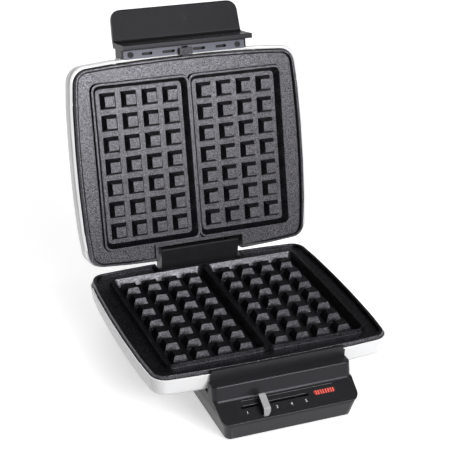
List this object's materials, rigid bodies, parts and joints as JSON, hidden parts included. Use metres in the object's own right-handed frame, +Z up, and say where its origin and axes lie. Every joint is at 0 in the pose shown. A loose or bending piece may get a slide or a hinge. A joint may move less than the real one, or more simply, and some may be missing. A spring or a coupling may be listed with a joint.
{
  "type": "waffle maker",
  "caption": "Table-top waffle maker with a white casing, two rectangular peg-grid plates, a fold-back lid with a flat grip, and a sloping panel with a slider.",
  "frame": {"origin": "on the table, at the middle of the open object's bounding box", "axes": "+X to the right, +Y from the control panel to the hinge, +Z up"},
  "size_m": [0.264, 0.3457, 0.3167],
  "materials": {
    "white": "gloss",
    "dark": "satin",
    "coated": "satin",
    "bright": "satin",
    "steel": "brushed",
    "tube": "satin",
    "rubber": "matte",
    "lens": "gloss",
    "lamp": "gloss",
    "grey": "satin",
    "natural": "satin",
    "brass": "satin"
  },
  "bodies": {
    "base": {"base_housing": "dark", "base_bottom_cover": "dark", "base_shell": "white", "base_plate": "coated", "base_reflector": "bright", "base_element": "tube", "base_element_saddles": "steel", "rubber_feet": "rubber", "bottom_screws": "steel", "shell_screws": "steel", "hinge_housing": "dark", "hinge_pin": "steel", "scale_plate": "dark", "indicator_lens": "lens", "lamp_holder": "natural", "indicator_lamps": "lamp", "thermostat": "natural", "thermostat_bracket": "steel", "thermal_fuse": "brass", "terminal_block": "natural", "cord_bushing": "rubber"},
    "slider": {"slider_knob": "grey", "slider_rack": "natural"},
    "gear": {"thermostat_gear": "natural"},
    "lid": {"lid_shell": "white", "lid_plate": "coated", "lid_reflector": "bright", "lid_element": "tube", "lid_element_saddles": "steel", "lid_handle": "dark", "handle_strip": "steel", "handle_screws": "steel", "lid_hinge_bracket": "steel", "hinge_bracket_screws": "steel"},
    "latch": {"lid_plate_latch": "dark"}
  },
  "joints": [
    {"name": "lid_hinge", "type": "hinge", "parent": "base", "child": "lid", "pos_m": [0, 0.07861, 0.0699], "axis": [1, 0, 0], "range_deg": [0, 106.5]},
    {"name": "knob_slide", "type": "slide", "parent": "base", "child": "slider", "axis": [1, 0, 0], "range_m": [-0.01694, 0.04466]},
    {"name": "gear_turn", "type": "hinge", "parent": "base", "child": "gear", "pos_m": [0, -0.15079, 0.02006], "axis": [0, -0.4617, 0.887], "range_deg": [-84, 216]},
    {"name": "latch_slide", "type": "slide", "parent": "lid", "child": "latch", "axis": [0, 0.284, 0.9588], "range_m": [0, 0.0035], "stiffness_N_per_m": 300, "springref_m": -0.004}
  ],
  "couplings": [
    {"joint": "gear_turn", "follows": "knob_slide", "rad_per_m": 82.305}
  ]
}
